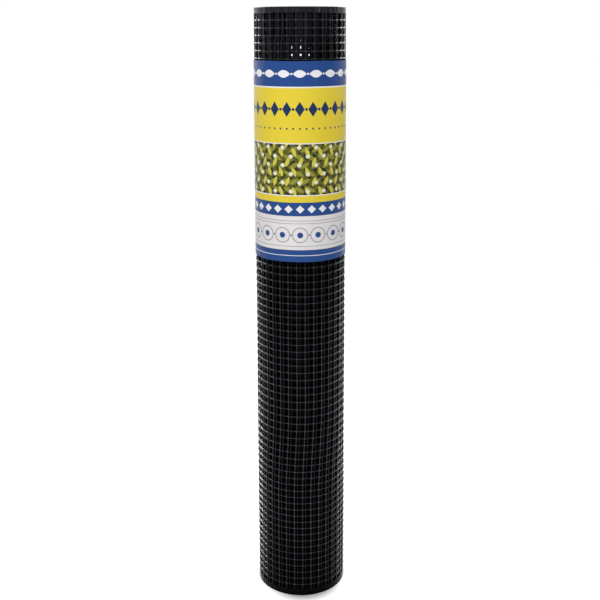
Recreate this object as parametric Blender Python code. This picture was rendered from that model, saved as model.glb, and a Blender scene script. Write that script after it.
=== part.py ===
"""A roll of black plastic mesh that stands on one end, with a printed sleeve round its upper part.

The net is one long flat piece, wound up on itself round an open bore. Its cut length and its width
give the roll its size: the width is the roll's height, and the length is wound into its wall.
Two solids stand for it, one for the whole wound net and one for the sleeve. The wound net keeps
the outline of the real roll, the strips along both edges of the net, the strands that run round
it, its two cut ends and its main turns. The openings between the strands aren't cut through.
The origin is at the middle of the foot, and +Z runs up along the roll's axis.
"""

import math

import bmesh
import bpy

# The net, in metres. It is three feet wide and twenty-five feet long.
NET_WIDTH = 0.9144
NET_LENGTH = 7.62
LAYER_STEP = 0.0015             # from one layer of net to the next

# The mean outer radius of the wound net, which is a little slacker towards its foot.
RADIUS_FOOT = 0.0697
RADIUS_MIDDLE = 0.0677
RADIUS_HEAD = 0.0664

# The wound length fills the wall between the outer radius and the bore.
BORE_RADIUS = math.sqrt(RADIUS_MIDDLE ** 2 - NET_LENGTH * LAYER_STEP / math.pi)

# The strands that run round the roll, counted from the head down. Their spacing wanders a little
# along the net's width, as two slow waves.
ROWS = 79
ROW_PITCH = 0.01131
FIRST_ROW = 0.89997
LONG_WAVE = 0.0027
LONG_WAVE_LENGTH = 0.360
LONG_WAVE_START = 0.80
SHORT_WAVE = 0.0007
SHORT_WAVE_LENGTH = 0.218
SHORT_WAVE_START = -3.02
STRAND_RISE = 0.0012            # how far a strand stands out of the wall
STRAND_HALF_FOOT = 0.0020       # half of its width where it meets the wall

# The solid strips along the two edges of the net.
STRIP_HEAD = 0.009
STRIP_FOOT = 0.011
STRIP_INSET = 0.0004            # the strips lie a little inside the strands' crests
STRIP_CHAMFER = 0.0005

# The sleeve is a band of printed sheet, wrapped round the roll with its two ends overlapping.
SLEEVE_FOOT = 0.5562
SLEEVE_HEAD = 0.8419
SLEEVE_WALL = 0.0010
SLEEVE_PROUD = 0.0006           # its outside stands this far outside the strands' crests
SLEEVE_FLAP = 0.0005            # the rise of the overlap
SLEEVE_LEVELS = 5
CLEARANCE = 0.0003              # between the sleeve and the net beneath it
SEAT_INSET = SLEEVE_WALL - SLEEVE_PROUD + CLEARANCE
SEAT_MARGIN = 0.0004            # the seat runs this far past the sleeve's edges

# The turns of the winding, which show at both ends as a spiral groove. A ridge between two turns of
# the groove stands for four layers of net.
GROOVE_TURNS = 6
GROOVE_WIDTH = 0.0013
GROOVE_DEPTH = 0.0030

# Round the roll there are this many columns of points. The net's two cut ends lie at the back.
COLUMNS = 24
CUT_END_ANGLE = math.radians(105)
FLAP_COLUMN = 20                # where the sleeve's overlap starts to rise, counted from the cut end


def wound_radius(height):
    """The mean outer radius at a height: a parabola through the foot, the middle and the head."""
    up = height / NET_WIDTH
    foot = RADIUS_FOOT * (1 - up) * (1 - 2 * up)
    middle = RADIUS_MIDDLE * 4 * up * (1 - up)
    head = RADIUS_HEAD * up * (2 * up - 1)
    return foot + middle + head


def wave(height, size, length, start):
    """How far a slow wave along the net's width shifts a strand."""
    return size * math.sin(2 * math.pi * height / length + start)


def row_height(row):
    """The height of one strand that runs round the roll."""
    even = FIRST_ROW - row * ROW_PITCH
    long_shift = wave(even, LONG_WAVE, LONG_WAVE_LENGTH, LONG_WAVE_START)
    short_shift = wave(even, SHORT_WAVE, SHORT_WAVE_LENGTH, SHORT_WAVE_START)
    return even + long_shift + short_shift


def clear_of_sleeve(height):
    """Whether a strand at this height lies wholly above or below the sleeve's seat."""
    reach = STRAND_HALF_FOOT + SEAT_MARGIN
    return height - reach > SLEEVE_HEAD or height + reach < SLEEVE_FOOT


def wall_levels():
    """The heights at which the outer wall changes, each with how far it lies inside the crests."""
    levels = [
        (0.0, STRIP_INSET),
        (STRIP_FOOT, STRIP_INSET),
        (STRIP_FOOT + STRIP_CHAMFER, STRAND_RISE),
        (NET_WIDTH - STRIP_HEAD - STRIP_CHAMFER, STRAND_RISE),
        (NET_WIDTH - STRIP_HEAD, STRIP_INSET),
        (NET_WIDTH, STRIP_INSET),
    ]
    for row in range(ROWS):
        height = row_height(row)
        if clear_of_sleeve(height):
            levels.append((height - STRAND_HALF_FOOT, STRAND_RISE))
            levels.append((height, 0.0))
            levels.append((height + STRAND_HALF_FOOT, STRAND_RISE))
    for height in sleeve_heights(SEAT_MARGIN):
        levels.append((height, SEAT_INSET))
    return sorted(levels)


def sleeve_heights(margin):
    """Evenly spaced heights from the sleeve's foot to its head, widened by a margin."""
    low = SLEEVE_FOOT - margin
    high = SLEEVE_HEAD + margin
    return [low + (high - low) * i / (SLEEVE_LEVELS - 1) for i in range(SLEEVE_LEVELS)]


def point(net, turns, radius, height):
    """A new vertex at so many turns past the net's cut end."""
    angle = CUT_END_ANGLE + 2 * math.pi * turns
    return net.verts.new((radius * math.cos(angle), radius * math.sin(angle), height))


def wound_loop(net, radius, height):
    """One turn of the spiral. Its last point lies one layer outside its first."""
    loop = []
    for column in range(COLUMNS + 1):
        turns = column / COLUMNS
        loop.append(point(net, turns, radius + LAYER_STEP * (turns - 0.5), height))
    return loop


def skin(net, low, high):
    """Faces between two closed loops of the same number of points."""
    for i in range(len(low)):
        j = (i + 1) % len(low)
        net.faces.new((low[i], low[j], high[j], high[i]))


def fan(net, start, end):
    """Faces between two straight rows of points, of which one may have more points than the other."""
    if len(start) == len(end) == 2:
        net.faces.new((start[0], start[1], end[1], end[0]))
        return
    short, long = sorted((start, end), key=len)
    for first, second in zip(long, long[1:]):
        net.faces.new((first, second, short[-1]))
    net.faces.new((short[0], short[-1], long[0]))


def groove_corners(net, turns, height, inward):
    """The inner lip, outer lip, outer floor and inner floor of the groove at one column."""
    thickness = RADIUS_HEAD - BORE_RADIUS
    step = thickness / (GROOVE_TURNS + 1)
    inner = BORE_RADIUS + step * (turns + 0.6)
    outer = inner + GROOVE_WIDTH
    floor = height + inward * GROOVE_DEPTH
    return (
        point(net, turns, inner, height),
        point(net, turns, outer, height),
        point(net, turns, outer, floor),
        point(net, turns, inner, floor),
    )


def end_face(net, bore, wall, height, inward):
    """Closes one end of the roll between its bore and its wall, with the spiral groove sunk in it."""
    grooves = []
    for turn in range(GROOVE_TURNS):
        grooves.append([groove_corners(net, turn + i / COLUMNS, height, inward) for i in range(COLUMNS)])
    for turn in range(GROOVE_TURNS - 1):
        grooves[turn].append(grooves[turn + 1][0])
    grooves[-1].append(groove_corners(net, GROOVE_TURNS, height, inward))

    inner_start = grooves[0][0]
    outer_stop = grooves[-1][COLUMNS]
    net.faces.new(inner_start)
    net.faces.new(outer_stop)
    for column in range(COLUMNS):
        after = column + 1
        for groove in grooves:
            for a, b in ((0, 3), (3, 2), (2, 1)):
                net.faces.new((groove[column][a], groove[column][b], groove[after][b], groove[after][a]))
        for inner, outer in zip(grooves, grooves[1:]):
            fan(net, (inner[column][1], outer[column][0]), (inner[after][1], outer[after][0]))

        # The innermost and the outermost ridge also meet the steps at the net's two cut ends.
        bore_start = [bore[column], grooves[0][column][0]]
        bore_end = [bore[after], grooves[0][after][0]]
        wall_start = [grooves[-1][column][1], wall[column]]
        wall_end = [grooves[-1][after][1], wall[after]]
        if column == 0:
            bore_start.insert(1, bore[COLUMNS])
            wall_start[1:1] = outer_stop[:2]
        if after == COLUMNS:
            bore_end[1:1] = inner_start[:2]
            wall_end.insert(1, wall[0])
        fan(net, bore_start, bore_end)
        fan(net, wall_start, wall_end)


def wound_net():
    """The wound net as one closed tube."""
    net = bmesh.new()
    walls = [wound_loop(net, wound_radius(height) - inset, height) for height, inset in wall_levels()]
    for low, high in zip(walls, walls[1:]):
        skin(net, low, high)
    bore_foot = wound_loop(net, BORE_RADIUS + LAYER_STEP / 2, 0.0)
    bore_head = wound_loop(net, BORE_RADIUS + LAYER_STEP / 2, NET_WIDTH)
    skin(net, bore_foot, bore_head)
    end_face(net, bore_foot, walls[0], 0.0, 1)
    end_face(net, bore_head, walls[-1], NET_WIDTH, -1)
    return net


def sleeve_radii(height, column):
    """The sleeve's inner and outer radius at one column. It follows the net, and bridges its cut end."""
    turns = (column or COLUMNS) / COLUMNS
    inner = wound_radius(height) - SEAT_INSET + LAYER_STEP * (turns - 0.5) + CLEARANCE
    outer = inner + SLEEVE_WALL
    if column in (FLAP_COLUMN + 1, FLAP_COLUMN + 2):
        outer += SLEEVE_FLAP
    return inner, outer


def sleeve():
    """The sleeve as one closed band, whose outside rises over its overlap and drops at its free edge."""
    band = bmesh.new()
    free_edge = FLAP_COLUMN + 2
    insides = []
    outsides = []
    for height in sleeve_heights(0.0):
        inside = []
        outside = []
        for column in range(COLUMNS):
            inner, outer = sleeve_radii(height, column)
            inside.append(point(band, column / COLUMNS, inner, height))
            outside.append(point(band, column / COLUMNS, outer, height))
            if column == free_edge:
                outside.append(point(band, column / COLUMNS, outer - SLEEVE_FLAP, height))
        insides.append(inside)
        outsides.append(outside)
    for loops in (insides, outsides):
        for low, high in zip(loops, loops[1:]):
            skin(band, low, high)
    for inside, outside in ((insides[0], outsides[0]), (insides[-1], outsides[-1])):
        lowered = outside.pop(free_edge + 1)
        for column in range(COLUMNS):
            after = (column + 1) % COLUMNS
            start = [inside[column], outside[column]]
            end = [inside[after], outside[after]]
            if column == free_edge:
                start[1] = lowered
            if after == free_edge:
                end.insert(1, lowered)
            fan(band, start, end)
    return band


def finish(name, colour, roughness):
    """A plastic with its own colour and gloss."""
    material = bpy.data.materials.new(name)
    material.use_nodes = True
    shader = material.node_tree.nodes["Principled BSDF"]
    shader.inputs["Base Color"].default_value = (*colour, 1.0)
    shader.inputs["Roughness"].default_value = roughness
    shader.inputs["Metallic"].default_value = 0.0
    return material


def add_piece(name, form, material):
    """Turns a finished form into a smooth-shaded object."""
    bmesh.ops.recalc_face_normals(form, faces=form.faces)
    mesh = bpy.data.meshes.new(name)
    form.to_mesh(mesh)
    form.free()
    mesh.shade_smooth()
    mesh.set_sharp_from_angle(angle=math.radians(40))
    mesh.materials.append(material)
    piece = bpy.data.objects.new(name, mesh)
    bpy.context.scene.collection.objects.link(piece)
    return piece


def middle_of(piece):
    """The middle of a piece's outline, seen from above."""
    xs = [vertex.co.x for vertex in piece.data.vertices]
    ys = [vertex.co.y for vertex in piece.data.vertices]
    return (min(xs) + max(xs)) / 2, (min(ys) + max(ys)) / 2


for old in list(bpy.data.objects):
    bpy.data.objects.remove(old)

roll = add_piece("net_roll", wound_net(), finish("black_net", (0.012, 0.012, 0.014), 0.28))
label = add_piece("label_sleeve", sleeve(), finish("printed_sleeve", (0.80, 0.62, 0.06), 0.35))

# The spiral isn't quite round, so both pieces move by the same small step to centre its outline.
off_x, off_y = middle_of(roll)
roll.location = (-off_x, -off_y, 0.0)
label.location = (-off_x, -off_y, 0.0)
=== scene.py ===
"""Looks of a roll of black plastic mesh, with a printed sleeve round its upper part.

The net is built strand by strand along its whole wound length: 79 strands that run round the roll,
586 that run up it, and a solid strip along each edge. The sleeve is a wrapped sheet whose print is
worked out from two lengths stored at its points, one round the roll and one up it.

Sizes are in metres, and turns are counted inward from the net's outer cut end.
"""

import math

import bpy
import numpy as np
from mathutils import Matrix, Vector


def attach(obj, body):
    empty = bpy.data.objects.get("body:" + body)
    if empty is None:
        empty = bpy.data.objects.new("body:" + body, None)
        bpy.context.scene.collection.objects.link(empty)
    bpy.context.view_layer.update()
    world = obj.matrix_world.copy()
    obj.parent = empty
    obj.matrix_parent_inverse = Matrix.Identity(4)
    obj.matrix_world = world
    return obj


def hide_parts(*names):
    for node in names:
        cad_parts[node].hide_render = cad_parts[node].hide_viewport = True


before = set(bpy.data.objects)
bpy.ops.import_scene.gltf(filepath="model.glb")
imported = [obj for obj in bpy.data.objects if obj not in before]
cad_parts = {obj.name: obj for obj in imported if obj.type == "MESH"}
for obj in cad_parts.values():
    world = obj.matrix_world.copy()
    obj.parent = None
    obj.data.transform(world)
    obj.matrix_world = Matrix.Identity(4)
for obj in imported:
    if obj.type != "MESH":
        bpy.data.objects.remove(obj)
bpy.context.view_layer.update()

FULL_TURN = 2 * math.pi
FRONT_ANGLE = 1.5 * math.pi
DOWN = np.array([0.0, 0.0, -1.0])

# The net, with the sizes that the solids use.
NET_WIDTH = 0.9144
NET_LENGTH = 7.62
LAYER_STEP = 0.0015
RADIUS_FOOT = 0.0707
RADIUS_MIDDLE = 0.0686
RADIUS_HEAD = 0.0665
CUT_END_ANGLE = math.radians(105)

# The strands that run round the roll, counted from the head down. Their heights wander in two waves.
ROWS = 79
ROW_PITCH = 0.01131
FIRST_ROW = 0.89997
ROW_WAVES = ((0.0027, 0.360, 0.80), (0.0007, 0.218, -3.02))    # size, length and start of each
HEAD_DROP = 0.0009                     # how far the first rows hang down
HEAD_DROP_HEIGHTS = (0.870, 0.895)     # the drop grows between these

# The strands that run up the roll, counted from the net's outer cut end.
COLUMNS = 586
COLUMN_PITCH = NET_LENGTH / COLUMNS
FIRST_COLUMN = 0.0038
FOOT_LEAN = 0.0048                     # how far they are shifted round the roll at its foot
FOOT_LEAN_HEIGHTS = (0.175, 0.325)     # the shift fades between these

# Half widths and half depths of the strands. They widen into rounded corners where they cross.
ROUND_HALF_WIDTH = 0.00076
UP_HALF_WIDTH = 0.00092
KNOT_HALF_WIDTH = 0.00150
KNOT_REACH = 0.0022
HALF_DEPTH = 0.00062
KNOT_HALF_DEPTH = 0.00075
ROUND_PROUD = 0.00026                  # how far those round the roll stand out from those up it, each way
FINE_SIDES = 6
PLAIN_SIDES = 4
PLAIN_ROW_STEP = 4                     # a plain strand that runs up has a point at every fourth row
STRAND_SHARP = 40                      # edges that turn by more degrees than this stay sharp

# The solid strips along the net's edges. At the head the inner turns stand a little lower in places.
STRIP_FOOT = 0.011
STRIP_HEAD = 0.008
STRIP_HALF_DEPTH = 0.0005
STRIP_CORNER = 0.00025
STRIP_SHARP = 30
STRIP_UNEVEN = 0.0007                  # how much lower at most
STRIP_UNEVEN_TURNS = (1.0, 2.0)        # it sets in between these
STRIP_WAVE = 3.9                       # in radians a turn
STRIP_STEPS = 2 * COLUMNS
STRAND_END = 0.3                       # where the strands end inside a strip, as a share of its width

# The sleeve. It is thinner than its outer end is lifted, so the overlap holds a little air.
SLEEVE_FOOT = 0.5562
SLEEVE_HEAD = 0.8419
SLEEVE_PROUD = 0.0006
SLEEVE_LIFT = 0.0005
SLEEVE_THICKNESS = SLEEVE_LIFT * 0.9
SLEEVE_OVERLAP_START = math.radians(50)
SLEEVE_FREE_EDGE = math.radians(75)
SLEEVE_LIFT_ANGLES = (0.10, 0.01)      # radians before the overlap where the lift starts and is done
SLEEVE_STEP_SHARE = 0.06               # the share of a turn over which it comes down the net's cut end
SLEEVE_RIPPLES = ((0.00006, 9, 40), (0.00005, 23, -90))    # size, then radians per radian and metre
SLEEVE_WANDER = 0.0002                 # how far its two long edges wander up and down
SLEEVE_WANDER_WAVE = (5, 1.0)          # radians per radian, and start
SLEEVE_WANDER_POWER = 6                # how fast it fades from the edges to the middle
SLEEVE_POINTS_ROUND = 190
SLEEVE_POINTS_UP = 49
SLEEVE_SHARP = 60

# Behind the sleeve and above it the inner turns have slipped round the roll, in a wave along the net.
SLIP = 0.0034                          # its size just above the sleeve
SLIP_MORE = 0.0030                     # what the head adds to it
SLIP_MORE_HEIGHTS = (0.869, 0.878)     # the addition grows between these
SLIP_WAVE = 2.4                        # in radians a turn
SLIP_TURNS = (0.6, 1.6)                # it sets in between these
SLIP_MARGIN = 0.03                     # it grows behind the sleeve, but not this near its edges
CUT_HOLD = 0.012                       # over this length the cut end holds it back

# Above the sleeve, the openings at the front and back of all turns are shifted to lie in line.
SIGHT_LINE = 0.0016                    # how far to the right of the axis that line is
SIGHT_TURNS = (0.8, 1.4)               # further out than these, openings at the sides are shifted too
SIGHT_SIDES = (0.25, 0.60)             # cosines of the angles where front and back end and the sides start

# The rows have slipped in the inner turns as well, more down than up.
ROW_SLIP = 0.0022
ROW_SLIP_TURNS = (3.0, 7.0)            # it sets in between these
ROW_SLIP_WAVE = 1.7                    # in radians a turn
ROW_SLIP_DOWN = 0.45                   # the share of its size by which the wave is lowered

# The sleeve holds the outer turns in, and elsewhere they are uneven and spring out at the cut end.
SLEEVE_HOLD = 0.00055
HOLD_BLEND = 0.004                     # how far above and below the sleeve's edges its hold fades
SPRING = 0.0011
SPRING_LENGTH = 0.030
LAYER_UNEVEN = 0.00012
LAYER_WAVES = ((1.0, 3, 17, 0), (0.6, 7, -29, 2))    # share, then radians per radian, metre and turn

# Above the sleeve the outer turns hang loose, and the turns inside them are pulled in on both sides.
LEFT_PULL = 0.0018
LEFT_PULL_TURNS = (5.9, 6.4)           # it sets in between these
RIGHT_PULL = 0.0012
RIGHT_PULL_TURNS = (0.6, 1.1)
PULL_RISE = 0.022                      # how far above the sleeve it is full
PULL_POWER = 1.5
PULL_FADE = 0.7                        # how much of it is lost by the innermost turn


def smooth_step(low, high, value):
    """0 below low, 1 above high, and a smooth rise between them."""
    share = np.clip((value - low) / (high - low), 0.0, 1.0)
    return share * share * (3 - 2 * share)


def wound_radius(height):
    """The mean outer radius at a height: a parabola through the foot, the middle and the head."""
    up = height / NET_WIDTH
    foot = RADIUS_FOOT * (1 - up) * (1 - 2 * up)
    middle = RADIUS_MIDDLE * 4 * up * (1 - up)
    head = RADIUS_HEAD * up * (2 * up - 1)
    return foot + middle + head


def row_heights():
    """The heights of the strands that run round the roll, from the head down."""
    even = FIRST_ROW - ROW_PITCH * np.arange(ROWS)
    shift = sum(size * np.sin(FULL_TURN * even / length + start) for size, length, start in ROW_WAVES)
    return even + shift - HEAD_DROP * smooth_step(*HEAD_DROP_HEIGHTS, even)


def turns_in(length):
    """How many turns inside the cut end the net lies, at a length measured along it from there."""
    return (RADIUS_MIDDLE - np.sqrt(RADIUS_MIDDLE ** 2 - length * LAYER_STEP / np.pi)) / LAYER_STEP


def length_at(inward):
    """The length along the net at a number of turns in from its cut end."""
    return np.pi / LAYER_STEP * (RADIUS_MIDDLE ** 2 - (RADIUS_MIDDLE - LAYER_STEP * inward) ** 2)


TURNS = turns_in(NET_LENGTH)


def sight_shifts():
    """Lengths at the back and front of each turn, and the shifts that line an opening up there."""
    back = (CUT_END_ANGLE - math.pi / 2) / FULL_TURN
    halves = np.arange(int(2 * (TURNS - back)))
    lengths = length_at(back + halves / 2)
    opening = lengths + SIGHT_LINE * np.where(halves % 2 == 0, 1, -1)
    return lengths, (np.mod((opening - FIRST_COLUMN) / COLUMN_PITCH, 1) - 0.5) * COLUMN_PITCH


SIGHT_LENGTHS, SIGHT_SHIFTS = sight_shifts()


def column_shift(length, height):
    """How far the strands that run up the roll are shifted along the net's length at a height."""
    inward = turns_in(length)
    foot = FOOT_LEAN * (1 - smooth_step(*FOOT_LEAN_HEIGHTS, height))

    # The slip of the inner turns.
    size = SLIP + SLIP_MORE * smooth_step(*SLIP_MORE_HEIGHTS, height)
    slip = size * np.sin(SLIP_WAVE * inward) * smooth_step(*SLIP_TURNS, inward)

    # The shifts that line the openings up, which the sides of the inner turns go without.
    beside = np.abs(np.cos(CUT_END_ANGLE - FULL_TURN * inward))
    share = 1 - smooth_step(*SIGHT_SIDES, beside) * smooth_step(*SIGHT_TURNS, inward)
    lined = share * np.interp(length, SIGHT_LENGTHS, SIGHT_SHIFTS)

    # Both grow behind the sleeve, and the cut end holds them back.
    head = smooth_step(SLEEVE_FOOT + SLIP_MARGIN, SLEEVE_HEAD - SLIP_MARGIN, height)
    free = np.clip(length / CUT_HOLD, 0, 1)
    return foot + head * free * (slip + lined)


def row_slip(length):
    """How far up the strands that run round the roll have slipped, at a length along the net."""
    inward = turns_in(length)
    wave = np.sin(ROW_SLIP_WAVE * inward) - ROW_SLIP_DOWN
    return ROW_SLIP * smooth_step(*ROW_SLIP_TURNS, inward) * wave


def winding(length, height):
    """The net's middle at a length along it and a height: its angle round the roll and its radius."""
    inward = turns_in(length)
    angle = CUT_END_ANGLE - FULL_TURN * inward
    share = 1 - inward / TURNS
    radius = RADIUS_MIDDLE - LAYER_STEP * inward + (wound_radius(height) - RADIUS_MIDDLE) * share

    # The sleeve holds the outer turns in.
    held = smooth_step(SLEEVE_FOOT - HOLD_BLEND, SLEEVE_FOOT + HOLD_BLEND, height)
    held = held * (1 - smooth_step(SLEEVE_HEAD - HOLD_BLEND, SLEEVE_HEAD + HOLD_BLEND, height))
    radius = radius - SLEEVE_HOLD * held * share

    # Above it the turns part, by more on the left than on the right.
    free = smooth_step(SLEEVE_HEAD, SLEEVE_HEAD + PULL_RISE, height)
    left = np.clip(-np.cos(angle), 0, 1) ** PULL_POWER * smooth_step(*LEFT_PULL_TURNS, inward)
    right = np.clip(np.cos(angle), 0, 1) ** PULL_POWER * smooth_step(*RIGHT_PULL_TURNS, inward)
    fade = 1 - PULL_FADE * inward / TURNS
    radius = radius - free * fade * (LEFT_PULL * left + RIGHT_PULL * right)

    # The layers lie a little unevenly on each other, and the cut end springs out.
    uneven = 0.0
    for size, per_angle, per_height, per_turn in LAYER_WAVES:
        uneven = uneven + size * np.sin(per_angle * angle + per_height * height + per_turn * inward)
    radius = radius + LAYER_UNEVEN * uneven * (1 - held)
    spring = np.exp(-(length / SPRING_LENGTH) ** 2) * (1 - held)
    radius = radius + SPRING * spring
    return angle, radius


def placed(name, data):
    """A new object in the scene, made of a mesh, a light or a camera."""
    made = bpy.data.objects.new(name, data)
    bpy.context.scene.collection.objects.link(made)
    return made


def store(mesh, label, values):
    """Stores one number at each point of a mesh, for its material."""
    attribute = mesh.attributes.new(label, "FLOAT", "POINT")
    attribute.data.foreach_set("value", values.ravel().astype(np.float32))


class Form:
    """Collects points and faces, and makes one mesh object of them."""

    def __init__(self):
        self.points = []
        self.faces = []
        self.knots = []
        self.rounds = []
        self.count = 0

    def add(self, points, faces, knots, going_round=0.0):
        """Adds points, with the faces that index into them.

        knots says how much of a crossing each point is, and going_round is 1 for strands round the roll.
        """
        self.points.append(points)
        self.faces.extend(block + self.count for block in faces)
        self.knots.append(knots)
        self.rounds.append(np.full(len(points), going_round))
        self.count += len(points)

    def tubes(self, points, knots, going_round=0.0):
        """Closed tubes, from points that run over tubes, rings along each, and corners of each ring."""
        count, along, sides = points.shape[:3]
        index = np.arange(count * along * sides).reshape(count, along, sides)
        low, high = index[:, :-1], index[:, 1:]
        walls = np.stack([low, np.roll(low, -1, 2), np.roll(high, -1, 2), high], -1).reshape(-1, 4)
        starts = index[:, 0, ::-1].reshape(-1, sides)
        stops = index[:, -1].reshape(-1, sides)
        self.add(points.reshape(-1, 3), [walls, starts, stops], np.repeat(knots, sides), going_round)

    def strands(self, middle, across, outward, knots, half_width, sides, going_round=0.0):
        """Strands with a flat outer face. The arrays run over strands, then places along each."""
        knots = np.broadcast_to(knots, middle.shape[:2])
        wide = half_width + (KNOT_HALF_WIDTH - half_width) * knots
        deep = HALF_DEPTH + (KNOT_HALF_DEPTH - HALF_DEPTH) * knots

        # Four corners start half a step on, so that a face points outward and not an edge.
        corner = FULL_TURN * (np.arange(sides) + (0.5 if sides == 4 else 0.0)) / sides
        wide = wide[..., None] * np.cos(corner)
        deep = deep[..., None] * np.sin(corner)
        points = middle[..., None, :] + wide[..., None] * across[..., None, :]
        points = points + deep[..., None] * outward[..., None, :]
        self.tubes(points, knots, going_round)

    def piece(self, name, material, sharp):
        """The mesh object, smooth but for edges over sharp degrees."""
        points = np.concatenate(self.points).astype(np.float32)
        sizes = np.concatenate([np.full(len(block), block.shape[1]) for block in self.faces])
        corners = np.concatenate([block.ravel() for block in self.faces])
        mesh = bpy.data.meshes.new(name)
        mesh.vertices.add(len(points))
        mesh.vertices.foreach_set("co", points.ravel())
        mesh.loops.add(len(corners))
        mesh.loops.foreach_set("vertex_index", corners.astype(np.int32))
        mesh.polygons.add(len(sizes))
        starts = np.concatenate([[0], np.cumsum(sizes)[:-1]])
        mesh.polygons.foreach_set("loop_start", starts.astype(np.int32))
        mesh.update(calc_edges=True)
        store(mesh, "knot", np.concatenate(self.knots))
        store(mesh, "going_round", np.concatenate(self.rounds))
        mesh.shade_smooth()
        mesh.set_sharp_from_angle(angle=math.radians(sharp))
        mesh.materials.append(material)
        return placed(name, mesh)


def net_points(length, height):
    """Points of the net's middle, with the directions round and out of the roll."""
    length, height = np.broadcast_arrays(length, height)
    angle, radius = winding(length, height)
    level = np.zeros_like(angle)
    side = np.stack([-np.sin(angle), np.cos(angle), level], -1)
    out = np.stack([np.cos(angle), np.sin(angle), level], -1)
    middle = out * radius[..., None]
    middle[..., 2] = height
    return middle, side, out


def knot_profile(crossings, low, high, fine):
    """Places along a strand, and how much of a crossing each is: three for each crossing if fine."""
    if not fine:
        places = np.concatenate([[low], crossings, [high]])
        return places, np.zeros(len(places))
    reach = np.array([-KNOT_REACH, 0.0, KNOT_REACH])
    places = np.concatenate([[low], (crossings[:, None] + reach).ravel(), [high]])
    knots = np.concatenate([[0.0], np.tile([0.0, 1.0, 0.0], len(crossings)), [0.0]])
    return places, knots


def strands_up(form, columns, heights, fine, sides):
    """The strands that run up the roll at these columns, from one strip to the other."""
    low = STRIP_FOOT * STRAND_END
    high = NET_WIDTH - STRIP_HEAD * STRAND_END
    places, knots = knot_profile(heights, low, high, fine)
    length = FIRST_COLUMN + COLUMN_PITCH * columns[:, None]
    length = length + column_shift(length, places[None, :])
    middle, side, out = net_points(length, places[None, :])
    form.strands(middle - out * ROUND_PROUD, -side, out, knots, UP_HALF_WIDTH, sides)


def strands_round(form, columns, heights, fine, sides):
    """The strands that run round the roll over these columns, at these heights."""
    crossings = FIRST_COLUMN + COLUMN_PITCH * columns
    low = crossings[0] - COLUMN_PITCH / 2
    high = crossings[-1] + COLUMN_PITCH / 2
    places, knots = knot_profile(crossings, low, high, fine)
    length = np.clip(places[None, :], 0.0, NET_LENGTH)
    length = np.clip(length + column_shift(length, heights[:, None]), 0.0, NET_LENGTH)
    middle, _, out = net_points(length, heights[:, None] + row_slip(length))
    form.strands(middle + out * ROUND_PROUD, DOWN, out, knots, ROUND_HALF_WIDTH, sides, 1.0)


def net_piece(name, first, last, material, fine):
    """One stretch of the net, from one column up to another. Rows that the sleeve hides are never fine."""
    form = Form()
    columns = np.arange(first, last)
    heights = row_heights()
    upward = np.sort(heights)
    if fine:
        hidden = (heights > SLEEVE_FOOT + HOLD_BLEND) & (heights < SLEEVE_HEAD - HOLD_BLEND)
        strands_up(form, columns, upward, True, FINE_SIDES)
        strands_round(form, columns, heights[~hidden], True, FINE_SIDES)
        strands_round(form, columns, heights[hidden], False, PLAIN_SIDES)
    else:
        strands_up(form, columns, upward[::PLAIN_ROW_STEP], False, PLAIN_SIDES)
        strands_round(form, columns, heights, False, PLAIN_SIDES)
    return form.piece(name, material, STRAND_SHARP)


def edge_strip(name, low, high, uneven, material):
    """One of the solid strips along the net's edges, whose inner turns may stand up to uneven lower."""
    places = np.linspace(0.0, NET_LENGTH, STRIP_STEPS + 1)
    inward = turns_in(places)
    wave = 0.5 + 0.5 * np.sin(STRIP_WAVE * inward)
    lower = uneven * smooth_step(*STRIP_UNEVEN_TURNS, inward) * wave
    middle, _, out = net_points(places, (low + high) / 2 - lower)

    # The section is a thin upright bar with its corners cut off, as places down and out from its middle.
    half = (high - low) / 2
    low_cut = half - STRIP_CORNER
    thin = STRIP_HALF_DEPTH - STRIP_CORNER
    section = (
        (-half, -thin),
        (-low_cut, -STRIP_HALF_DEPTH),
        (low_cut, -STRIP_HALF_DEPTH),
        (half, -thin),
        (half, thin),
        (low_cut, STRIP_HALF_DEPTH),
        (-low_cut, STRIP_HALF_DEPTH),
        (-half, thin),
    )
    corners = [middle + DOWN * fall + out * deep for fall, deep in section]
    form = Form()
    form.tubes(np.stack(corners, 1)[None], np.zeros(len(places)))
    return form.piece(name, material, STRIP_SHARP)


# How soft the print's edges are. A diamond's edge is a share of its size.
BAND_EDGE = 0.0002
SHAPE_EDGE = 0.0003
DIAMOND_EDGE = 0.04


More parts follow.
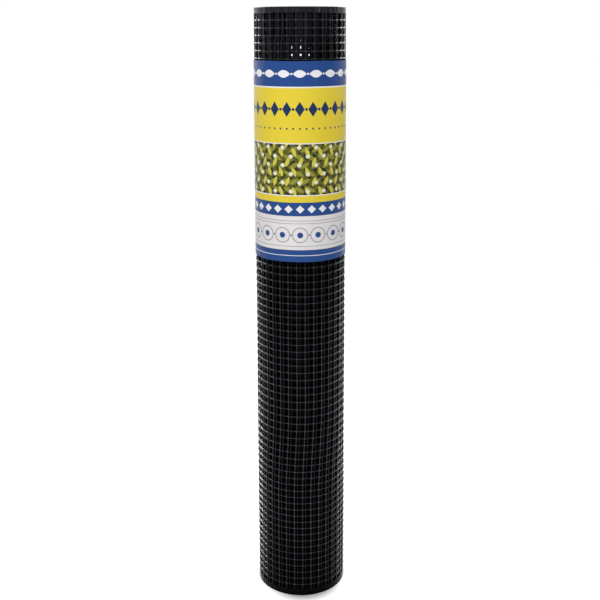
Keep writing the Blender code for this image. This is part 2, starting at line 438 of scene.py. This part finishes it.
class Graph:
    """Short forms for the nodes of a material or a world."""

    def __init__(self, owner, shader):
        owner.use_nodes = True
        self.owner = owner
        self.tree = owner.node_tree
        self.shader = self.tree.nodes[shader]

    def node(self, kind, **settings):
        """A new node with its settings."""
        made = self.tree.nodes.new(kind)
        for key, value in settings.items():
            setattr(made, key, value)
        return made

    def put(self, socket, value):
        """Sets an input to a value, or links it to an output."""
        if isinstance(value, bpy.types.NodeSocket):
            self.tree.links.new(value, socket)
        else:
            socket.default_value = value

    def feed(self, name, value):
        """Sets or links one of the shader's inputs."""
        self.put(self.shader.inputs[name], value)

    def place(self):
        """Where a point is, in metres from the middle of the roll's foot."""
        return self.node("ShaderNodeTexCoord").outputs["Object"]

    def stored(self, label):
        """A number stored at the mesh's points."""
        return self.node("ShaderNodeAttribute", attribute_name=label).outputs["Fac"]

    def part(self, vector, axis):
        """One of the three parts of a vector."""
        made = self.node("ShaderNodeSeparateXYZ")
        self.put(made.inputs[0], vector)
        return made.outputs[axis]

    def math(self, operation, *values, clamp=False):
        """One Math node."""
        made = self.node("ShaderNodeMath", operation=operation, use_clamp=clamp)
        for socket, value in zip(made.inputs, values):
            self.put(socket, value)
        return made.outputs[0]

    def times(self, first, second):
        """One value times another."""
        return self.math("MULTIPLY", first, second)

    def minus(self, first, second):
        """One value less another."""
        return self.math("SUBTRACT", first, second)

    def mix(self, share, under, over):
        """Blends two colours."""
        made = self.node("ShaderNodeMix", data_type="RGBA")
        self.put(made.inputs["Factor"], share)
        self.put(made.inputs[6], under)
        self.put(made.inputs[7], over)
        return made.outputs[2]

    def noise(self, place, scale, detail, roughness=0.5):
        """A noise value from 0 to 1."""
        made = self.node("ShaderNodeTexNoise")
        self.put(made.inputs["Vector"], place)
        made.inputs["Scale"].default_value = scale
        made.inputs["Detail"].default_value = detail
        made.inputs["Roughness"].default_value = roughness
        return made.outputs["Fac"]

    def spread(self, value, low, high, start=0.0, stop=1.0, kind="LINEAR"):
        """Goes from low to high as a value goes from start to stop, and stays at them beyond."""
        made = self.node("ShaderNodeMapRange", interpolation_type=kind)
        settings = {"Value": value, "From Min": start, "From Max": stop, "To Min": low, "To Max": high}
        for name, setting in settings.items():
            self.put(made.inputs[name], setting)
        return made.outputs["Result"]

    def bump(self, height, distance, strength):
        """A bump on the shader's normal."""
        made = self.node("ShaderNodeBump")
        made.inputs["Strength"].default_value = strength
        made.inputs["Distance"].default_value = distance
        self.put(made.inputs["Height"], height)
        self.feed("Normal", made.outputs["Normal"])

    def below(self, value, limit, edge):
        """1 where a value is below a limit and 0 where it is above, with a soft edge between."""
        return self.math("MULTIPLY_ADD", self.minus(limit, value), 1 / edge, 0.5, clamp=True)

    def around(self, value, spacing, shift):
        """How far a value is from the nearest of a row of evenly spaced places."""
        moved = self.math("FLOORED_MODULO", self.math("ADD", value, spacing / 2 - shift), spacing)
        return self.minus(moved, spacing / 2)

    def band(self, value, low, high):
        """1 between low and high, 0 outside, with a short soft edge."""
        away = self.math("ABSOLUTE", self.minus(value, (low + high) / 2))
        return self.math("MULTIPLY", self.minus((high - low) / 2, away), 1 / BAND_EDGE, clamp=True)


# The plastic. A grain is a noise scale, and each gloss here is a share of the material's own.
# Towards the head the black is paler than the plastic's own: painted light that stands in for light coming
# in at the open head.
HEAD_PAINTED_LIGHT_BLACK = (0.0125, 0.0115, 0.0175, 1.0)
HEAD_PAINTED_LIGHT_BLACK_HEIGHTS = (0.840, 0.920)    # it fades to that paler black, painted light from the open head, between these
# The grey that dust and scuffs make the plastic paler towards; the painted highlights on crossings and on
# the head's rows use it too.
DUST_AND_PAINTED_HIGHLIGHT = (0.16, 0.16, 0.17, 1.0)
COOL_GLOSS = (0.86, 0.91, 1.0, 1.0)
ROUGHNESS = (0.06, 0.17)
BROAD_GRAIN = 45.0
FINE_GRAIN = 900.0
GRAIN_DEPTH = 0.00008
GRAIN_STRENGTH = 0.5
FURROW_GRAIN = 190.0
FURROW_STRETCH = (1.0, 1.0, 0.04)      # furrows run up the roll, so their noise hardly changes that way
FURROW_SLOPES = (0.25, 0.75)           # they fade between these, from walls to level faces
SCUFF_POWER = 7.0
SCUFFS = 4.5
HEAD_BLEND = 0.01                      # over this height the gloss above the sleeve takes over
UPPER_GLOSS = 0.75                     # on the upper body, towards the sleeve's foot: painted shade in its reflections
UPPER_GLOSS_HEIGHTS = (0.33, 0.53)
FOOT_GLOSS = 0.65                      # at the very foot: painted shade in its reflections
FOOT_GLOSS_HEIGHT = 0.12
GOING_UP_GLOSS = 0.82                  # on strands that run up, below the sleeve's head
STRAND_GLOSS = 0.75                    # between crossings
KNOT_GLOSS = 1.65                      # on crossings, raised as a painted highlight


def net_gloss(graph, height, above, gloss, head_gloss):
    """The plastic's gloss, by height, by crossing and by which way the strand runs."""
    level = graph.spread(height, gloss, gloss * UPPER_GLOSS, *UPPER_GLOSS_HEIGHTS)
    level = graph.spread(above, level, head_gloss)
    level = graph.times(level, graph.spread(graph.stored("knot"), STRAND_GLOSS, KNOT_GLOSS))
    going_up = graph.times(graph.minus(1.0, graph.stored("going_round")), graph.minus(1.0, above))
    level = graph.times(level, graph.spread(going_up, 1.0, GOING_UP_GLOSS))
    return graph.times(level, graph.spread(height, FOOT_GLOSS, 1.0, 0.0, FOOT_GLOSS_HEIGHT))


def furrowed(graph, above, pale, depth):
    """Adds shallow furrows that run up the roll, and gives pale with scuffs added above the sleeve."""
    drawn = graph.node("ShaderNodeVectorMath", operation="MULTIPLY")
    graph.put(drawn.inputs[0], graph.place())
    drawn.inputs[1].default_value = FURROW_STRETCH
    furrows = graph.noise(drawn.outputs[0], FURROW_GRAIN, detail=3.0)

    # The end faces are level, and stay plain.
    facing = graph.part(graph.node("ShaderNodeNewGeometry").outputs["True Normal"], "Z")
    wall = graph.spread(graph.math("ABSOLUTE", facing), 1.0, 0.0, *FURROW_SLOPES)
    graph.bump(graph.times(furrows, wall), depth, 1.0)
    scuffs = graph.times(graph.math("POWER", furrows, SCUFF_POWER), graph.times(above, wall))
    return graph.math("MULTIPLY_ADD", scuffs, SCUFFS, pale, clamp=True)


def net_plastic(
        name, colour, dust, gloss, head_gloss, knot_highlight=0.0, furrows=0.0, index=1.5, fade=1.0, rows=0.0):
    """Black extruded plastic with a soft gloss, and a gloss of its own above the sleeve.

    dust makes it paler in patches, and knot_highlight and rows make it paler at crossings and in the
    rows above the sleeve, as painted highlights. furrows is how deep its furrows are, and fade how much
    of the way it fades to the head's paler black, painted light from the open head.
    """
    graph = Graph(bpy.data.materials.new(name), "Principled BSDF")
    height = graph.part(graph.place(), "Z")
    above = graph.below(SLEEVE_HEAD, height, HEAD_BLEND)
    grain = graph.noise(graph.place(), FINE_GRAIN, detail=4.0, roughness=0.6)
    patches = graph.times(graph.noise(graph.place(), BROAD_GRAIN, detail=3.0), grain)
    graph.feed("Roughness", graph.spread(patches, *ROUGHNESS))
    graph.feed("Specular IOR Level", net_gloss(graph, height, above, gloss, head_gloss))
    graph.feed("Specular Tint", COOL_GLOSS)
    graph.feed("IOR", index)

    # Crossings are made paler: a painted highlight.
    pale = graph.times(graph.stored("knot"), knot_highlight)
    pale = graph.math("MULTIPLY_ADD", patches, dust, pale, clamp=True)
    if furrows:
        pale = furrowed(graph, above, pale, furrows)
    else:
        graph.bump(grain, GRAIN_DEPTH, GRAIN_STRENGTH)
    # The rows above the sleeve are made paler: a painted highlight.
    if rows:
        head_row_highlight = graph.times(graph.stored("going_round"), above)
        pale = graph.math("MULTIPLY_ADD", head_row_highlight, rows, pale, clamp=True)
    # Towards the head the base colour turns paler: painted light from the open head.
    painted_head_light = graph.spread(height, 0.0, fade, *HEAD_PAINTED_LIGHT_BLACK_HEIGHTS)
    black = graph.mix(painted_head_light, (*colour, 1.0), HEAD_PAINTED_LIGHT_BLACK)
    # Dust and scuffs, and the painted highlights, mix the black towards one grey.
    graph.feed("Base Color", graph.mix(pale, black, DUST_AND_PAINTED_HIGHLIGHT))
    return graph.owner


# The second and inner turns use copies of the same black plastic that are darker, less glossy and of a
# lower index, as painted shade of the turns that lie under the outer one. Above the sleeve they turn
# glossier, as painted light from the open head.
black_net = net_plastic(
    "black_net_plastic", (0.0030, 0.0030, 0.0042), dust=0.02, gloss=0.40, head_gloss=0.42,
    knot_highlight=0.015, rows=0.10)
second_black_painted_shade = net_plastic(
    "second_black_painted_shade_plastic", (0.0022, 0.0022, 0.0032), dust=0.015, gloss=0.29, head_gloss=0.55,
    index=1.4)
inner_black_painted_shade = net_plastic(
    "inner_black_painted_shade_plastic", (0.0012, 0.0012, 0.0018), dust=0.01, gloss=0.26, head_gloss=0.90,
    index=1.25)
black_strip = net_plastic(
    "black_strip_plastic", (0.0020, 0.0020, 0.0026), dust=0.01, gloss=0.07, head_gloss=0.35,
    furrows=0.0012, fade=0.45)

# Each stretch of the net: its columns, its material, and whether its strands are fine.
STRETCHES = (
    ("net_turn_outer_back", 0, 9, black_net, True),
    ("net_turn_outer_front", 9, 33, black_net, True),
    ("net_turn_second", 33, 66, second_black_painted_shade, True),
    ("net_turns_outer_wall", 66, 200, inner_black_painted_shade, False),
    ("net_turns_middle", 200, 400, inner_black_painted_shade, False),
    ("net_turns_bore", 400, COLUMNS, inner_black_painted_shade, False),
)
net_pieces = [net_piece(*stretch) for stretch in STRETCHES]
net_pieces.append(edge_strip("net_strip_foot", 0.0, STRIP_FOOT, 0.0, black_strip))
strip_low = NET_WIDTH - STRIP_HEAD
net_pieces.append(edge_strip("net_strip_head", strip_low, NET_WIDTH, STRIP_UNEVEN, black_strip))
for piece in net_pieces:
    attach(piece, "root")
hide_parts("net_roll")


def sleeve_radius(angle, level):
    """The radius of the sleeve's outer face."""
    # It follows the winding of the net, and comes down the step at the net's cut end.
    turn = np.mod(angle - CUT_END_ANGLE, FULL_TURN) / FULL_TURN
    drop = 1 - smooth_step(0.0, SLEEVE_STEP_SHARE, turn)
    follow = LAYER_STEP * (turn * (1 - drop) + drop - 0.5)

    # Its outer end lifts over its inner one, and it ripples slightly.
    overlap = SLEEVE_OVERLAP_START + FULL_TURN
    before, done = SLEEVE_LIFT_ANGLES
    lift = smooth_step(overlap - before, overlap - done, angle)
    ripple = 0.0
    for size, per_angle, per_height in SLEEVE_RIPPLES:
        ripple = ripple + size * np.sin(per_angle * angle + per_height * level)
    return wound_radius(level) + SLEEVE_PROUD + follow + lift * SLEEVE_LIFT + ripple


def sleeve_wander(angle, level):
    """How far the sleeve wanders up or down: not in its middle, and most at its two long edges."""
    middle = (SLEEVE_FOOT + SLEEVE_HEAD) / 2
    away = np.abs(level - middle) * 2 / (SLEEVE_HEAD - SLEEVE_FOOT)
    side = np.where(level < middle, -1, 1)
    per_angle, start = SLEEVE_WANDER_WAVE
    return SLEEVE_WANDER * np.sin(per_angle * angle + start) * side * away ** SLEEVE_WANDER_POWER


def sleeve_piece(material):
    """A sheet wrapped once round the roll, with its two print lengths stored at its points."""
    angles = np.linspace(SLEEVE_OVERLAP_START, SLEEVE_FREE_EDGE + FULL_TURN, SLEEVE_POINTS_ROUND)
    levels = np.linspace(SLEEVE_FOOT, SLEEVE_HEAD, SLEEVE_POINTS_UP)
    angle, level = np.meshgrid(angles, levels, indexing="ij")
    outer = sleeve_radius(angle, level)
    height = level + sleeve_wander(angle, level)
    layers = []
    for radius in (outer, outer - SLEEVE_THICKNESS):
        layers.append(np.stack([radius * np.cos(angle), radius * np.sin(angle), height], -1))
    points = np.stack(layers, 0)

    # The outer and the inner face, and then the four narrow edges between them.
    front, back = np.arange(2 * angle.size).reshape(2, *angle.shape)
    faces = [
        np.stack([front[:-1, :-1], front[1:, :-1], front[1:, 1:], front[:-1, 1:]], -1).reshape(-1, 4),
        np.stack([back[:-1, :-1], back[:-1, 1:], back[1:, 1:], back[1:, :-1]], -1).reshape(-1, 4),
    ]
    foot = (front[:, 0], back[:, 0])
    head = (back[:, -1], front[:, -1])
    outer_end = (front[-1], back[-1])
    inner_end = (back[0], front[0])
    for near, far in (foot, head, outer_end, inner_end):
        faces.append(np.stack([far[:-1], far[1:], near[1:], near[:-1]], -1))
    form = Form()
    form.add(points.reshape(-1, 3), faces, np.zeros(2 * angle.size))
    piece = form.piece("printed_sleeve", material, SLEEVE_SHARP)
    store(piece.data, "print_round", np.tile((angle - FRONT_ANGLE) * RADIUS_HEAD, (2, 1)))
    store(piece.data, "print_up", np.tile(level - SLEEVE_FOOT, (2, 1)))
    return piece


def srgb(red, green, blue):
    """A colour given as it looks on a screen, from 0 to 255."""
    return (*[(c / 255) ** 2.2 for c in (red, green, blue)], 1.0)


BLUE = srgb(46, 78, 140)
YELLOW = srgb(235, 211, 66)
NAVY = srgb(38, 58, 92)
PANEL = srgb(234, 230, 232)
WHITE = srgb(240, 241, 244)
GREY = srgb(150, 152, 158)
LEAF_GROUND = srgb(98, 96, 46)
LEAF_DARK = srgb(46, 58, 40)
LEAF_MIDDLE = srgb(146, 146, 60)
LEAF_LIGHT = srgb(212, 200, 84)
BLOSSOM = srgb(232, 232, 212)


def lens(graph, along, across, half_length, half_width):
    """A leaf shape: a lens about the middle of two local lengths."""
    share = graph.math("DIVIDE", along, half_length)
    limit = graph.times(graph.minus(1.0, graph.times(share, share)), half_width)
    return graph.below(graph.math("ABSOLUTE", across), limit, SHAPE_EDGE)


def diamond(graph, along, across, half_length, half_width):
    """A diamond about the middle of two local lengths."""
    first = graph.math("DIVIDE", graph.math("ABSOLUTE", along), half_length)
    second = graph.math("DIVIDE", graph.math("ABSOLUTE", across), half_width)
    return graph.below(graph.math("ADD", first, second), 1.0, DIAMOND_EDGE)


def disc(graph, along, across, radius):
    """A disc about the middle of two local lengths."""
    squares = graph.math("ADD", graph.times(along, along), graph.times(across, across))
    return graph.below(graph.math("SQRT", squares), radius, SHAPE_EDGE)


def ring(graph, along, across, outer, inner):
    """A ring about the middle of two local lengths."""
    return graph.minus(disc(graph, along, across, outer), disc(graph, along, across, inner))


def leaves(graph, round_length, up_length, spacing, shift, lean, size):
    """Leaf shapes in even rows, each row half a space along from the next and leaning the other way."""
    space, row_step = spacing
    shifted = graph.math("ADD", up_length, row_step / 2 - shift[1])
    row = graph.math("FLOOR", graph.math("DIVIDE", shifted, row_step))
    odd = graph.math("FLOORED_MODULO", row, 2.0)
    moved = graph.math("ADD", round_length, graph.times(odd, space / 2))
    x = graph.around(moved, space, shift[0])
    y = graph.around(up_length, row_step, shift[1])
    side = graph.math("MULTIPLY_ADD", odd, -2.0, 1.0)
    sine = graph.times(side, math.sin(lean))
    along = graph.math("ADD", graph.times(x, math.cos(lean)), graph.times(y, sine))
    across = graph.minus(graph.times(y, math.cos(lean)), graph.times(x, sine))
    return lens(graph, along, across, *size)


# Bands on the yellow ground, from the head down: where each starts and ends above the sleeve's foot.
BANDS = (
    (0.2510, 0.3000, BLUE),
    (0.2490, 0.2510, WHITE),
    (0.0680, 0.0880, BLUE),
    (0.0180, 0.0680, PANEL),
    (-0.0100, 0.0180, BLUE),
)

# The band of leaves, and its layers: spacing round and up, shift round and up, lean, and half sizes.
LEAF_BAND = (0.0980, 0.1720)
LEAF_LAYERS = (
    ((0.0130, 0.0090), (0.002, 0.0), 0.9, (0.0068, 0.0026), LEAF_DARK),
    ((0.0160, 0.0115), (0.007, 0.003), 0.5, (0.0080, 0.0030), LEAF_MIDDLE),
    ((0.0190, 0.0140), (0.001, 0.006), 1.2, (0.0074, 0.0028), LEAF_LIGHT),
    ((0.0240, 0.0125), (0.011, 0.004), 0.2, (0.0034, 0.0030), BLOSSOM),
)

# Thin rules: their middles and half widths.
RULES = (
    (0.1720, 0.0008, WHITE),
    (0.0980, 0.0008, WHITE),
    (0.0610, 0.0005, GREY),
    (0.0570, 0.0005, GREY),
    (0.0235, 0.0005, GREY),
    (0.0096, 0.0006, WHITE),
)

# Rows of ornaments: the shape, its spacing and shift round the roll, its height and its half sizes.
ORNAMENTS = (
    (lens, 0.0230, 0.0, 0.2685, (0.0095, 0.0052), WHITE),
    (disc, 0.0230, 0.0115, 0.2685, (0.0015,), WHITE),
    (diamond, 0.0185, 0.0, 0.2200, (0.0068, 0.0105), NAVY),
    (disc, 0.0185, 0.00925, 0.2200, (0.0020,), NAVY),
    (disc, 0.00925, 0.0, 0.1930, (0.0014,), NAVY),
    (diamond, 0.0165, 0.0, 0.0780, (0.0062, 0.0058), WHITE),
    (ring, 0.0260, 0.0, 0.0400, (0.0115, 0.0102), GREY),
    (disc, 0.0260, 0.0, 0.0400, (0.0042,), BLUE),
    (disc, 0.0260, 0.0130, 0.0400, (0.0011,), NAVY),
)

# The sleeve's sheet is smooth, with faint patches and a faint grain.
SLEEVE_GLOSS = 0.16
SLEEVE_ROUGHNESS = (0.24, 0.36)
SLEEVE_PATCHES = 60.0
SLEEVE_GRAIN = 220.0
SLEEVE_GRAIN_DEPTH = 0.00012
SLEEVE_GRAIN_STRENGTH = 0.25


def print_material():
    """The sleeve's print: bands of blue and yellow, a band of leaves, a pale panel and ornaments."""
    graph = Graph(bpy.data.materials.new("sleeve_print"), "Principled BSDF")
    across = graph.stored("print_round")
    up = graph.stored("print_up")
    colour = YELLOW
    for low, high, over in BANDS:
        colour = graph.mix(graph.band(up, low, high), colour, over)
    foliage = LEAF_GROUND
    for spacing, shift, lean, size, over in LEAF_LAYERS:
        foliage = graph.mix(leaves(graph, across, up, spacing, shift, lean, size), foliage, over)
    colour = graph.mix(graph.band(up, *LEAF_BAND), colour, foliage)
    for middle, half, over in RULES:
        colour = graph.mix(graph.band(up, middle - half, middle + half), colour, over)
    for shape, spacing, shift, middle, size, over in ORNAMENTS:
        along = graph.around(across, spacing, shift)
        colour = graph.mix(shape(graph, along, graph.minus(up, middle), *size), colour, over)
    graph.feed("Base Color", colour)
    patches = graph.noise(graph.place(), SLEEVE_PATCHES, detail=3.0)
    graph.feed("Roughness", graph.spread(patches, *SLEEVE_ROUGHNESS))
    graph.feed("Specular IOR Level", SLEEVE_GLOSS)
    grain = graph.noise(graph.place(), SLEEVE_GRAIN, detail=2.0)
    graph.bump(grain, SLEEVE_GRAIN_DEPTH, SLEEVE_GRAIN_STRENGTH)
    return graph.owner


sleeve = sleeve_piece(print_material())
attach(sleeve, "root")
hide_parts("label_sleeve")

# The floor, with a shade round the roll's foot and one before it: their middles, radii and soft edges.
FLOOR_HALF = 2.2
FLOOR_TONES = ((0.93, 0.93, 0.93, 1.0), (0.95, 0.95, 0.95, 1.0))
FLOOR_PATCHES = 3.0
FLOOR_ROUGHNESS = 0.9
FLOOR_GLOSS = 0.1
FLOOR_GLOW = 0.55
FOOT_SHADE = ((0.0, 0.0, 0.0), 0.0715, 0.005)
FRONT_SHADE = ((0.006, -0.030, 0.0), 0.0550, 0.022)
FRONT_SHADE_COLOUR = (0.58, 0.58, 0.59, 1.0)


def floor_material():
    """White, with a faint glow away from the roll that keeps it evenly bright. The glow is left off round
    the roll's foot, and the floor is greyer in front of it: a painted shadow.
    """
    graph = Graph(bpy.data.materials.new("floor_white"), "Principled BSDF")
    white = graph.mix(graph.noise(graph.place(), FLOOR_PATCHES, detail=2.0), *FLOOR_TONES)
    shades = []
    for middle, radius, edge in (FOOT_SHADE, FRONT_SHADE):
        away = graph.node("ShaderNodeVectorMath", operation="DISTANCE")
        graph.put(away.inputs[0], graph.place())
        away.inputs[1].default_value = middle
        shades.append(graph.below(away.outputs["Value"], radius, edge))
    # Where the shades lie the floor gets no glow, and in front of the roll it is greyer too: a painted
    # shadow.
    clear = graph.minus(1.0, graph.math("MAXIMUM", *shades))
    graph.feed("Base Color", graph.mix(shades[1], white, FRONT_SHADE_COLOUR))
    graph.feed("Roughness", FLOOR_ROUGHNESS)
    graph.feed("Specular IOR Level", FLOOR_GLOSS)
    graph.feed("Emission Color", (1.0, 1.0, 1.0, 1.0))
    graph.feed("Emission Strength", graph.times(clear, FLOOR_GLOW))
    return graph.owner


def floor():
    """A wide plain floor. The roll's dull surfaces get no light from it."""
    half = FLOOR_HALF
    corners = [(-half, -half, 0), (half, -half, 0), (half, half, 0), (-half, half, 0)]
    mesh = bpy.data.meshes.new("floor")
    mesh.from_pydata(corners, [], [(0, 1, 2, 3)])
    mesh.materials.append(floor_material())
    made = placed("floor", mesh)
    made.visible_diffuse = False


def soft_light(name, place, aim, size, watts, on_gloss, on_dull):
    """A soft rectangular light, which can be kept off glossy or off dull surfaces."""
    light = bpy.data.lights.new(name, "AREA")
    light.shape = "RECTANGLE"
    light.size, light.size_y = size
    light.energy = watts
    made = placed(name, light)
    made.rotation_euler = Vector(np.subtract(aim, place)).to_track_quat("-Z", "Y").to_euler()
    made.location = place
    made.visible_glossy = on_gloss
    made.visible_diffuse = on_dull
    made.visible_camera = False


# The lights: place, aim, size, watts, and whether they are on glossy and on dull surfaces.
LIGHTS = (
    ("ceiling_light", (0, 0.2, 2.9), (0, 0.2, 0), (4.5, 4.5), 52, False, True),
    ("left_high_light", (-1.9, 1.6, 1.9), (0, 0, 0.6), (1.8, 1.4), 34, True, False),
    ("right_high_light", (1.9, 1.6, 1.9), (0, 0, 0.6), (1.8, 1.4), 16, True, False),
    ("left_low_light", (-2.16, 1.76, 1.25), (0, 0, 0.12), (0.85, 0.32), 24, True, False),
    ("right_low_light", (2.16, 1.76, 1.25), (0, 0, 0.12), (0.85, 0.32), 8, True, False),
    ("back_light", (0, 3.0, 2.5), (0, 0, 0.7), (4.0, 1.8), 115, True, False),
    ("front_light", (-0.6, -2.75, 2.1), (0, 0, 0.55), (1.5, 1.5), 76, False, True),
    ("right_rim", (2.0, 0.7, 1.2), (0, 0, 0.7), (0.8, 1.2), 14, False, True),
)

# Where the surround changes, as parts of a unit direction: to the back, upward and to the right.
FRONT_TO_BACK = (-0.2, 0.6)
LEVEL_TO_ABOVE = (0.15, 0.75)
MIDDLE_TO_RIGHT = (0.05, 0.60)


def surround(seen, front, back, above, right, dull_share):
    """A white surround: white for the camera, and for the object greyer before it and dim above it.

    It is also a little dimmer on the right, and dull surfaces get only a share of it.
    """
    graph = Graph(bpy.data.worlds.new("surround"), "Background")
    bpy.context.scene.world = graph.owner
    way = graph.node("ShaderNodeTexCoord").outputs["Generated"]
    light = graph.spread(graph.part(way, "Y"), front, back, *FRONT_TO_BACK, "SMOOTHSTEP")
    for axis, span, least in (("Z", LEVEL_TO_ABOVE, above), ("X", MIDDLE_TO_RIGHT, right)):
        dimmer = graph.spread(graph.part(way, axis), 1.0, least, *span, "SMOOTHSTEP")
        light = graph.times(light, dimmer)
    ray = graph.node("ShaderNodeLightPath").outputs
    light = graph.times(light, graph.spread(ray["Is Diffuse Ray"], 1.0, dull_share))
    graph.feed("Strength", graph.spread(ray["Is Camera Ray"], light, seen))
    graph.feed("Color", (1.0, 1.0, 1.0, 1.0))


# The camera, fitted to the rows, the outline and the two ends of the roll in the photograph.
CAMERA_PLACE = (-0.0006, -1.4137, 0.8830)
CAMERA_DOWN = math.radians(15.947)
CAMERA_ROLL = math.radians(-0.18)
FOCAL_PIXELS = 944.06
PICTURE_PIXELS = 600
SENSOR = 36.0


def camera():
    """The camera at the photograph's place."""
    data = bpy.data.cameras.new("camera")
    data.sensor_width = SENSOR
    data.lens = SENSOR * FOCAL_PIXELS / PICTURE_PIXELS
    data.clip_start = 0.05
    data.clip_end = 50
    made = placed("camera", data)
    turn = Matrix.Rotation(math.pi / 2 - CAMERA_DOWN, 4, "X") @ Matrix.Rotation(CAMERA_ROLL, 4, "Z")
    made.matrix_world = Matrix.Translation(CAMERA_PLACE) @ turn
    bpy.context.scene.camera = made


floor()
surround(seen=1.0, front=0.60, back=1.05, above=0.45, right=0.70, dull_share=0.39)
for light in LIGHTS:
    soft_light(*light)
camera()
bpy.context.scene.view_settings.view_transform = "Standard"
